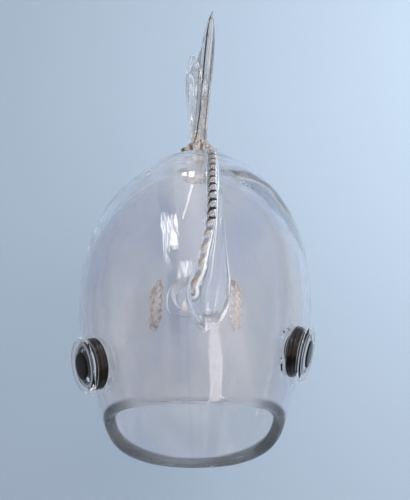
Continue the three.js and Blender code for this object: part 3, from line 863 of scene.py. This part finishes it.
def painted_lip_shade(net, shader):
    # painted shade: the rounded lip is darkened towards near black, as the thick glass looks where
    # it refracts dark surroundings
    lip_shade = net.gloss((0.050, 0.047, 0.044), roughness=0.08)
    uneven = net.step(net.noise(scale=40, seed=2.0), over=(0.3, 0.7), to=(0.74, 0.92))
    return net.mix(net.times(net.attribute("lip"), uneven), shader, lip_shade)


def painted_wall_highlight(net, shader):
    """Painted highlight: the upright sides are painted pale, where they would catch the light."""
    normal = net("ShaderNodeNewGeometry").outputs["Normal"]
    level = net.math("ABSOLUTE", net("ShaderNodeSeparateXYZ", Vector=normal).outputs[2])
    pale = net.gloss((0.93, 0.95, 0.97), roughness=0.18)
    return net.mix(net.times(net.step(level, over=(0.86, 0.6)), 0.7), shader, pale)


def painted_seam_lines(net, shader, width):
    """A painted highlight as a fine bright line along the joint, with a painted shadow line
    outside it. Width in mm.
    """
    fuse = net.attribute("fuse")
    pale = net.gloss((0.98, 0.985, 0.99), roughness=0.12)
    grey = net.gloss((0.16, 0.17, 0.19), roughness=0.2)
    ragged = net.noise(scale=140, seed=net.seed + 2)
    ragged = net.step(ragged, over=(0.25, 0.6), to=(0.75, 1.0))
    # painted shadow line just outside the joint, painted highlight along it
    shadow = net.line(fuse, at=width * 1.45, over=(width * 0.42, width * 0.1))
    bright = net.times(net.step(fuse, over=(width, width * 0.7)), ragged)
    shader = net.mix(net.times(shadow, 0.4), shader, grey)
    return net.mix(net.times(bright, 0.9), shader, pale)


# painted highlight and painted shade lines along the folds of the right flank: (place around,
# width, strength, colour)
FOLD_LIGHT_LINES = [(0.172, 0.013, 0.85, (0.95, 0.97, 0.99)), (0.205, 0.012, 0.6, (0.10, 0.11, 0.13)),
         (0.118, 0.010, 0.45, (0.12, 0.13, 0.15)), (0.375, 0.016, 0.6, (0.11, 0.13, 0.16)),
         (0.33, 0.008, 0.4, (0.95, 0.97, 0.99))]


def painted_fold_lines(net, shader):
    """Painted highlights on the backs of the folds and painted shade in their creases."""
    around = net.waver(net.attribute("around"), 0.05, scale=28, seed=net.seed)
    reach = net.times(net.step(net.attribute("along"), over=(0.05, 0.26)),
                      net.step(net.attribute("along"), over=(0.85, 0.55)))
    for at, width, strength, colour in FOLD_LIGHT_LINES:
        tone = net.gloss(colour, roughness=0.15)
        fold = net.times(net.line(around, at=at, over=(width, width * 0.2)), strength)
        shader = net.mix(net.times(fold, reach), shader, tone)
    return shader


def brown_upper_lobe(net, colour):
    """A brown cast on the upper lobe, darker towards the root."""
    root = net.times(net.step(net.attribute("along"), over=(1.0, 0.2)), 0.65)
    height = net.math("COSINE", net.times(net.attribute("around"), 2 * math.pi))
    upper = net.step(height, over=(-0.1, 0.6))
    return net.blend(net.times(upper, net.plus(root, 0.35)), colour, (0.70, 0.58, 0.49))


# lengthwise dark brown lines, painted shade for the dark edges of the upper lobe: (place around,
# width, strength)
TAIL_SHADE_LINES = [(0.052, 0.017, 0.95), (0.105, 0.009, 0.75), (0.947, 0.017, 1.0),
           (0.893, 0.009, 0.75), (0.84, 0.004, 0.5), (0.16, 0.005, 0.5)]


def tail_shade_and_highlights(net, shader):
    """Dark brown lines as painted shade on the upper lobe, a white line on the upper edge as a
    painted highlight, and white patches on the lower lobe as painted highlights.
    """
    around = net.waver(net.attribute("around"), 0.03, scale=45, seed=net.seed)
    shade_lines = None
    for at, width, strength in TAIL_SHADE_LINES:
        shade_line = net.times(net.line(around, at=at, over=(width, width * 0.3)), strength)
        shade_lines = shade_line if shade_lines is None else net.larger(shade_lines, shade_line)
    brown = net.gloss((0.055, 0.040, 0.030), roughness=0.1)
    broken = net.noise(scale=90, stretch=(1, 0.4, 0.4), seed=3.0)
    broken = net.step(broken, over=(0.3, 0.55), to=(0.35, 1.0))
    shader = net.mix(net.times(shade_lines, broken), shader, brown)

    # painted highlights: a white line on the upper edge and white patches on the lower lobe
    white = net.gloss((0.95, 0.96, 0.97), roughness=0.2)
    edge = net.line(net.gap(around, 0.5), at=0.494, over=(0.011, 0.004))
    edge = net.times(edge, net.step(net.attribute("along"), over=(0.45, 0.75)))
    lower = net.line(net.gap(around, 0.5), at=0.13, over=(0.075, 0.02))
    patches = net.times(net.step(net.attribute("along"), over=(0.6, 0.8)),
                        net.step(net.noise(scale=95, seed=5.0), over=(0.42, 0.54)))
    lower = net.times(lower, patches)
    return net.mix(net.times(net.larger(edge, lower), 0.85), shader, white)


def shaded_pleat_valleys(net, shader):
    """Painted shade: brown in the valleys between the collar's pleats."""
    around = net.plus(net.attribute("around"), net.times(net.noise(scale=60, detail=1), 0.05))
    pleat = net.math("COSINE", net.times(around, 2 * math.pi * COLLAR_PLEATS))
    brown = net.gloss((0.13, 0.085, 0.055), roughness=0.1)
    reach = net.step(net.attribute("along"), over=(0.1, 0.3), to=(0.0, 0.95))
    return net.mix(net.times(net.step(pleat, over=(-0.35, -0.85)), reach), shader, brown)


# ------------------------------------------------------------------ materials
def body_glass():
    net = new_net("blown_clear_glass")
    bump = cords(net, depth=0.014)
    colour = tinted(net, (0.955, 0.915, 0.885))
    violet = net.noise(scale=19, stretch=(1, 0.45, 1), distortion=1.2, seed=11.0)
    colour = net.blend(net.step(violet, over=(0.42, 0.64)), colour, (0.87, 0.85, 0.885))
    glass = veiled(net, net.clear(colour, bump), amount=0.2, colour=(0.88, 0.86, 0.91))
    return open_to_light(net, painted_lip_shade(net, glass), COOL_SHADE)


def fin_glass():
    net = new_net("clear_fin_glass", seed=1.0)
    bump = cords(net, depth=0.02)
    glass = net.clear(tinted(net, (0.97, 0.975, 0.98)), bump)
    glass = veiled(net, glass, amount=0.16, colour=(0.74, 0.84, 0.93))
    glass = painted_seam_lines(net, painted_fold_lines(net, glass), width=1.5)
    return open_to_light(net, glass, COOL_SHADE)


def tail_glass():
    net = new_net("drawn_tail_glass", seed=2.0)
    bump = cords(net, depth=0.03)
    colour = brown_upper_lobe(net, tinted(net, (0.93, 0.92, 0.915)))
    return open_to_light(net, tail_shade_and_highlights(net, net.clear(colour, bump)), COOL_SHADE)


def collar_glass():
    net = new_net("pleated_collar_glass", seed=7.0)
    bump = cords(net, depth=0.04)
    glass = net.clear(tinted(net, (0.80, 0.69, 0.60)), bump, roughness=0.02)
    glass = milky(net, glass, bump, amount=0.35)
    return open_to_light(net, shaded_pleat_valleys(net, glass), WARM_SHADE)


def lens_glass():
    net = new_net("eye_lens_glass", seed=4.0)
    bump = cords(net, depth=0.02)
    glass = net.clear(tinted(net, (0.96, 0.955, 0.95)), bump, Specular_IOR_Level=0.3)
    return open_to_light(net, painted_seam_lines(net, glass, width=0.85), COOL_SHADE)


def pad_glass():
    net = new_net("belly_pad_glass", seed=6.0)
    bump = cords(net, depth=0.03)
    glass = painted_wall_highlight(net, net.clear(tinted(net, (0.97, 0.975, 0.985)), bump))
    return open_to_light(net, painted_seam_lines(net, glass, width=0.8), COOL_SHADE)


def belly_fin_glass():
    net = new_net("warm_pinched_glass", seed=8.0)
    bump = cords(net, depth=0.08)
    colour = tinted(net, (0.93, 0.86, 0.81))
    mottle = net.noise(scale=330, detail=3, distortion=0.4, seed=net.seed + 5)
    colour = net.blend(net.step(mottle, over=(0.5, 0.68)), colour, (0.84, 0.70, 0.62))
    glass = milky(net, net.clear(colour, bump, roughness=0.03), bump, amount=1.0)
    return open_to_light(net, glass, WARM_SHADE)


def dark_glass(name, deep, streaked, specular, seed=0.0, highlight_seam=0.0):
    """Near black glass, dull inside a joint, with a painted highlight as a pale line along the
    joint, of this width in mm.
    """
    net = new_net(name, seed)
    streaks = net.noise(scale=150, detail=3, stretch=(1, 0.35, 1), distortion=0.8, seed=seed)
    colour = net.blend(net.step(streaks, over=(0.42, 0.72)), deep, streaked)
    bump = net.bump(net.noise(scale=240, distortion=0.3, seed=seed), depth=0.02)
    skin = net.gloss(colour, roughness=0.05, Specular_IOR_Level=specular, Normal=bump)
    under = net("ShaderNodeBsdfPrincipled", Base_Color=colour, Roughness=0.9,
                Specular_IOR_Level=0.0).outputs[0]
    fuse = net.attribute("fuse")
    if highlight_seam:
        # painted highlight: a pale ragged line along the joint
        pale = net.gloss((0.82, 0.78, 0.73), roughness=0.15)
        ragged = net.step(net.noise(scale=130, seed=seed), over=(0.35, 0.55), to=(0.25, 0.9))
        skin = net.mix(net.times(net.step(fuse, over=(highlight_seam, highlight_seam * 0.5)), ragged), skin, pale)
    return net.output(net.mix(net.step(fuse, over=OUTSIDE_JOINT), under, skin))


def trail_glass():
    """Clear twisted trail: painted shade as dark streaks where the twists overlap, painted warm
    reflections as golden-brown glints, golden at the front, and painted white highlights on the
    right.
    """
    net = new_net("twisted_trail_glass")
    turn = net.waver(net.attribute("turn"), 2.2, scale=170, distortion=0.5)
    rear = net.step(net.attribute("along"), over=(0.22, 0.36))
    # painted shade: the dark overlap is wide on the left and a hairline on the right
    side = net.attribute("side")
    left = net.step(side, over=(0.25, -0.6))
    wave = net.math("SINE", turn)
    dark = net.larger(net.step(net.plus(wave, net.times(left, 1.0)), over=(0.45, 0.75)),
                      net.line(wave, at=0.1, over=(0.2, 0.07)))
    # painted warm reflections: golden-brown glints on the tops of the twists
    warm_glint_mask = net.times(
        net.step(net.math("SINE", net.plus(turn, 2.4)), over=(-0.1, 0.6)),
        net.step(net.math("ABSOLUTE", net.plus(side, 0.1)), over=(0.85, 0.5)))
    broken = net.step(net.noise(scale=90, seed=6.0), over=(0.3, 0.55), to=(0.35, 1.0))
    warm_glint_mask = net.times(warm_glint_mask, broken)
    # painted highlight: white on the right side of the twists
    highlight_mask = net.times(net.step(side, over=(0.45, 0.75)),
                      net.step(net.math("SINE", net.plus(turn, 0.8)), over=(-0.2, 0.5)))

    overlap_shade = net.gloss(net.blend(rear, (0.13, 0.075, 0.035), (0.005, 0.004, 0.0035)),
                    roughness=0.06, Specular_IOR_Level=0.15)
    warm_glint = net.gloss(net.blend(rear, (0.60, 0.45, 0.31), (0.36, 0.27, 0.20)), roughness=0.08)
    white = net.gloss((0.94, 0.95, 0.96), roughness=0.12)
    glass = net.clear((0.93, 0.91, 0.89), net.bump(net.noise(scale=420), depth=0.03))
    glass = net.mix(net.times(warm_glint_mask, 0.7), glass, warm_glint)
    glass = net.mix(net.times(highlight_mask, 0.8), glass, white)
    dark = net.times(dark, net.step(rear, over=(0, 1), to=(0.5, 1.0)))
    return open_to_light(net, net.mix(dark, glass, overlap_shade), shade=(0.86, 0.84, 0.82))


shell.link("body_shell", "clear_glass", body_glass())
collar.link("tail_collar", "warm_clear_glass", collar_glass())
tail.link("tail_fin", "clear_glass", tail_glass())
fin.link("dorsal_fin", "clear_glass", fin_glass())
trail.link("dorsal_crest_trail", "amber_streak_glass", trail_glass())
pad.link("belly_pad", "clear_glass", pad_glass())
warm_glass = belly_fin_glass()
for name, piece in belly_fins.items():
    piece.link(f"{name}_belly_fin", "warm_clear_glass", warm_glass)
eye_parts = [
    ("wrap", "dark_glass", dark_glass(
        "dark_eye_wrap_glass", deep=(0.005, 0.004, 0.0035), streaked=(0.020, 0.013, 0.009),
        specular=0.5, highlight_seam=0.55)),
    ("lens", "clear_glass", lens_glass()),
    ("pupil", "dark_glass", dark_glass(
        "dark_pupil_glass", deep=(0.014, 0.0115, 0.009), streaked=(0.024, 0.019, 0.015),
        specular=0.05, seed=3.0)),
]
for name, pieces in eyes.items():
    for piece, (part, slot, material) in zip(pieces, eye_parts):
        piece.link(f"{name}_eye_{part}", slot, material)


# ------------------------------------------------------------------ floor
def floor_material():
    """Pale blue. Reflections and refractions far from the fish see a glowing mottled grey instead,
    painted light that stands in for the lit room.
    """
    net = new_net("pale_blue_floor")
    blue = net.blend(net.noise(scale=3), (0.46, 0.575, 0.705), (0.44, 0.55, 0.68))
    position = net("ShaderNodeNewGeometry").outputs["Position"]
    distance = net("ShaderNodeVectorMath", {"operation": "LENGTH"},
                   input_0=position).outputs["Value"]
    rays = net("ShaderNodeLightPath").outputs
    direct = net.larger(rays["Is Camera Ray"], rays["Is Diffuse Ray"])
    far = net.times(net.step(distance, over=(0.26, 0.5)), net.minus(1.0, direct))
    near_floor = net("ShaderNodeBsdfPrincipled", Base_Color=blue, Roughness=0.85,
                     Specular_IOR_Level=0.1).outputs[0]
    # painted light: far from the fish the floor glows mottled grey for rays that are neither
    # camera nor diffuse rays
    mottle = net.step(net.noise(scale=2.2, detail=3, seed=4.0), over=(0.4, 0.62))
    grey = net.blend(mottle, (0.50, 0.54, 0.60), (0.34, 0.36, 0.40))
    far_floor_glow = net("ShaderNodeEmission", Color=grey, Strength=1.0).outputs[0]
    return net.output(net.mix(far, near_floor, far_floor_glow))


bm = bmesh.new()
bmesh.ops.create_grid(bm, x_segments=40, y_segments=40, size=3.0)
floor_mesh = bpy.data.meshes.new("studio_floor")
bm.to_mesh(floor_mesh)
bm.free()
floor = bpy.data.objects.new("studio_floor", floor_mesh)
scene.collection.objects.link(floor)
floor_mesh.materials.append(floor_material())


# ------------------------------------------------------------------ lamps
def softbox(name, azimuth, elevation, distance, size, radiance, colour):
    """A square lamp that is not mirrored in the glass. Azimuth runs from +Y towards +X and
    elevation up from the horizon, in degrees, seen from the fish."""
    azimuth = math.radians(azimuth)
    elevation = math.radians(elevation)
    direction = Vector((math.sin(azimuth) * math.cos(elevation),
                        math.cos(azimuth) * math.cos(elevation), math.sin(elevation)))
    lamp = bpy.data.lights.new(name, "AREA")
    lamp.shape = "RECTANGLE"
    lamp.size = lamp.size_y = size
    lamp.energy = radiance * math.pi * size * size
    lamp.color = colour
    ob = bpy.data.objects.new(name, lamp)
    ob.location = Vector((0, 0, 0.07)) + direction * distance
    ob.rotation_euler = direction.to_track_quat("Z", "Y").to_euler()
    scene.collection.objects.link(ob)
    ob.visible_glossy = ob.visible_transmission = ob.visible_camera = False


softbox("key", azimuth=62, elevation=37, distance=0.52, size=0.32, radiance=7.2,
        colour=(1.0, 0.995, 0.985))
softbox("fill", azimuth=20, elevation=60, distance=1.3, size=0.7, radiance=0.8,
        colour=(0.97, 0.99, 1.0))

# ------------------------------------------------------------------ window panes
# Panes of a big soft window beyond the tail. Which of them a ray sees depends on how many glass
# surfaces it has crossed: the limits below lie between two counts.
BAND_GLOW = 15.0
DEEP_FROM = 4.5
PANE_ROWS, PANE_COLUMNS = 24, 8


def crossings(net):
    return net("ShaderNodeLightPath").outputs["Transmission Depth"]


def deep_glow(net, crossed, base=0.0):
    """Adds the band's glow for rays deep in the glass."""
    deep = net.math("GREATER_THAN", crossed, DEEP_FROM)
    return net.math("MULTIPLY_ADD", deep, BAND_GLOW, base)


def shallow_glow(net, crossed, glow, limit):
    return net.times(glow, net.minus(1.0, net.math("GREATER_THAN", crossed, limit)))


def streaked_glow(net, crossed, glow):
    streaks = net.noise(scale=30, stretch=(1, 0.15, 0.15), seed=1.0)
    return net.times(shallow_glow(net, crossed, glow, limit=2.5),
                     net.step(streaks, over=(0.45, 0.56), to=(0.12, 1.0)))


def band_strength(net):
    return deep_glow(net, crossings(net))


def tall_strength(net):
    crossed = crossings(net)
    glow = streaked_glow(net, crossed, glow=13.0)
    fade = net.step(net.attribute("down"), over=(0.45, 1.0), to=(1.0, 0.08))
    glow = net.times(glow, fade)
    ragged = net.times(net.noise(scale=26, stretch=(1, 0.2, 0.2)), 0.3)
    start = net.step(net.plus(ragged, net.attribute("down")), over=(0.14, 0.22))
    return deep_glow(net, crossed, net.times(glow, start))


def low_strength(net):
    crossed = crossings(net)
    glow = streaked_glow(net, crossed, glow=9.0)
    fade = net.step(net.attribute("down"), over=(0.35, 0.95), to=(1.0, 0.1))
    return deep_glow(net, crossed, net.times(glow, fade))


def plain_strength(glow):
    return lambda net: shallow_glow(net, crossings(net), glow, limit=0.5)


# name, strength, size about the origin, and rows of (left, right) corners in metres
PANES = [
    ("band", band_strength, 1.02, [
        [(-0.53, 1.20, 0.05), (-0.30, 1.25, 0.05)],
        [(-0.588, 1.033, 0.675), (-0.329, 1.032, 0.852)],
        [(-0.608, 0.851, 0.901), (-0.319, 0.828, 1.074)],
        [(-0.55, 0.45, 1.2), (-0.35, 0.4, 1.25)],
        [(-0.5, -0.3, 1.25), (-0.3, -0.3, 1.3)]]),
    ("tall", tall_strength, 1.0, [
        [(-0.588, 1.033, 0.675), (-0.329, 1.032, 0.852)],
        [(-0.608, 0.851, 0.901), (-0.319, 0.828, 1.074)],
        [(-0.595, 0.673, 1.061), (-0.346, 0.679, 1.172)],
        [(-0.55, 0.375, 1.239), (-0.502, 0.37, 1.263)]]),
    ("low", low_strength, 1.0, [
        [(-0.266, 0.526, 1.278), (-0.046, 0.505, 1.317)],
        [(-0.332, 0.398, 1.313), (-0.037, 0.398, 1.357)],
        [(-0.38, 0.197, 1.352), (-0.027, 0.191, 1.41)]]),
    ("sliver", plain_strength(8.0), 1.0, [
        [(-0.067, 1.287, 0.416), (-0.027, 1.287, 0.42)],
        [(-0.145, 1.142, 0.748), (-0.106, 1.143, 0.753)],
        [(-0.235, 0.98, 0.95), (-0.199, 0.981, 0.957)]]),
    ("spot_a", plain_strength(9.0), 1.0, [
        [(-0.19, 1.31, 0.02), (-0.132, 1.318, 0.02)],
        [(-0.201, 1.315, 0.106), (-0.132, 1.322, 0.148)]]),
    ("spot_b", plain_strength(9.0), 1.0, [
        [(-0.098, 1.314, 0.02), (-0.009, 1.33, 0.035)],
        [(-0.106, 1.321, 0.2), (-0.032, 1.324, 0.211)]]),
]


def pane(name, strength, scale, corners):
    corners = np.array(corners)
    rows = np.linspace(0, len(corners) - 1, PANE_ROWS + 1)
    whole = np.minimum(rows.astype(int), len(corners) - 2)
    part = (rows - whole)[:, None, None]
    edges = corners[whole] * (1 - part) + corners[whole + 1] * part
    across = np.linspace(0, 1, PANE_COLUMNS + 1)[None, :, None]
    points = (edges[:, :1] * (1 - across) + edges[:, 1:] * across).reshape(-1, 3) * scale
    count = PANE_COLUMNS + 1
    starts = [i * count + j for i in range(PANE_ROWS) for j in range(PANE_COLUMNS)]
    faces = [(i, i + 1, i + count + 1, i + count) for i in starts]
    mesh = bpy.data.meshes.new(f"pane_{name}")
    mesh.from_pydata(points.tolist(), [], faces)
    # 0 on the first row of corners, 1 on the last
    down = np.repeat(np.linspace(0, 1, PANE_ROWS + 1), count).astype(np.float32)
    mesh.attributes.new("down", "FLOAT", "POINT").data.foreach_set("value", down)
    net = new_net(f"pane_{name}")
    mesh.materials.append(net.output(net("ShaderNodeEmission", Strength=strength(net)).outputs[0]))
    ob = bpy.data.objects.new(f"pane_{name}", mesh)
    scene.collection.objects.link(ob)
    ob.visible_camera = ob.visible_diffuse = ob.visible_shadow = False


for entry in PANES:
    pane(*entry)

# ------------------------------------------------------------------ world
# (height from 0 straight down to 1 straight up, colour) beyond the tail and before the mouth
ROOM = [(0.0, (0.50, 0.57, 0.66)), (0.5, (0.60, 0.65, 0.72)), (0.62, (0.62, 0.64, 0.68)),
        (0.72, (0.66, 0.64, 0.66)), (0.88, (0.82, 0.78, 0.80)), (1.0, (0.9, 0.86, 0.88))]
ROOM_FRONT = [(0.0, (0.26, 0.28, 0.31)), (0.5, (0.15, 0.15, 0.155)),
              (0.82, (0.09, 0.087, 0.085)), (0.92, (0.74, 0.70, 0.72)),
              (1.0, (0.9, 0.86, 0.88))]


def light_world(world):
    net = Net(world)
    direction = net("ShaderNodeTexCoord").outputs["Generated"]
    parts = net("ShaderNodeSeparateXYZ", Vector=direction).outputs
    height = net.math("MULTIPLY_ADD", parts[2], 0.5, 0.5)
    room = net.ramp(height, ROOM)
    front = net.ramp(height, ROOM_FRONT)
    clouds = net("ShaderNodeTexNoise", Vector=direction, Scale=3.2, Detail=3.0).outputs["Fac"]
    clouds = net.times(net.step(clouds, over=(0.4, 0.62)), 0.38)
    room = net.blend(clouds, room, (0.33, 0.33, 0.36))
    sky = net.blend(net.step(parts[1], over=(-0.22, -0.6)), room, front)
    rays = net("ShaderNodeLightPath").outputs
    sky = net.blend(rays["Is Camera Ray"], sky, (0.66, 0.71, 0.78))
    strength = net.step(rays["Is Diffuse Ray"], over=(0, 1), to=(1.0, 0.8))
    net.output(net("ShaderNodeBackground", Color=sky, Strength=strength).outputs[0], "World")


scene.world = bpy.data.worlds.new("studio")
light_world(scene.world)

# ------------------------------------------------------------------ camera and render
camera = bpy.data.cameras.new("photo_view")
camera.sensor_width = 36
camera.lens = 57.6
camera.shift_x = 0.021
camera.clip_start = 0.01
camera.clip_end = 20
camera_ob = bpy.data.objects.new("photo_view", camera)
camera_ob.location = Vector((ORIGIN_X, -147.93 + ORIGIN_Y, 469.94)) * MM
view = Vector((0, 0.34366, -0.93910))
camera_ob.rotation_euler = view.to_track_quat("-Z", "Y").to_euler()
scene.collection.objects.link(camera_ob)
scene.camera = camera_ob

scene.view_settings.view_transform = "Standard"
cycles = scene.cycles
cycles.max_bounces = cycles.transmission_bounces = cycles.glossy_bounces = 48
cycles.transparent_max_bounces = 64
cycles.caustics_reflective = False
cycles.caustics_refractive = False
cycles.use_denoising = True
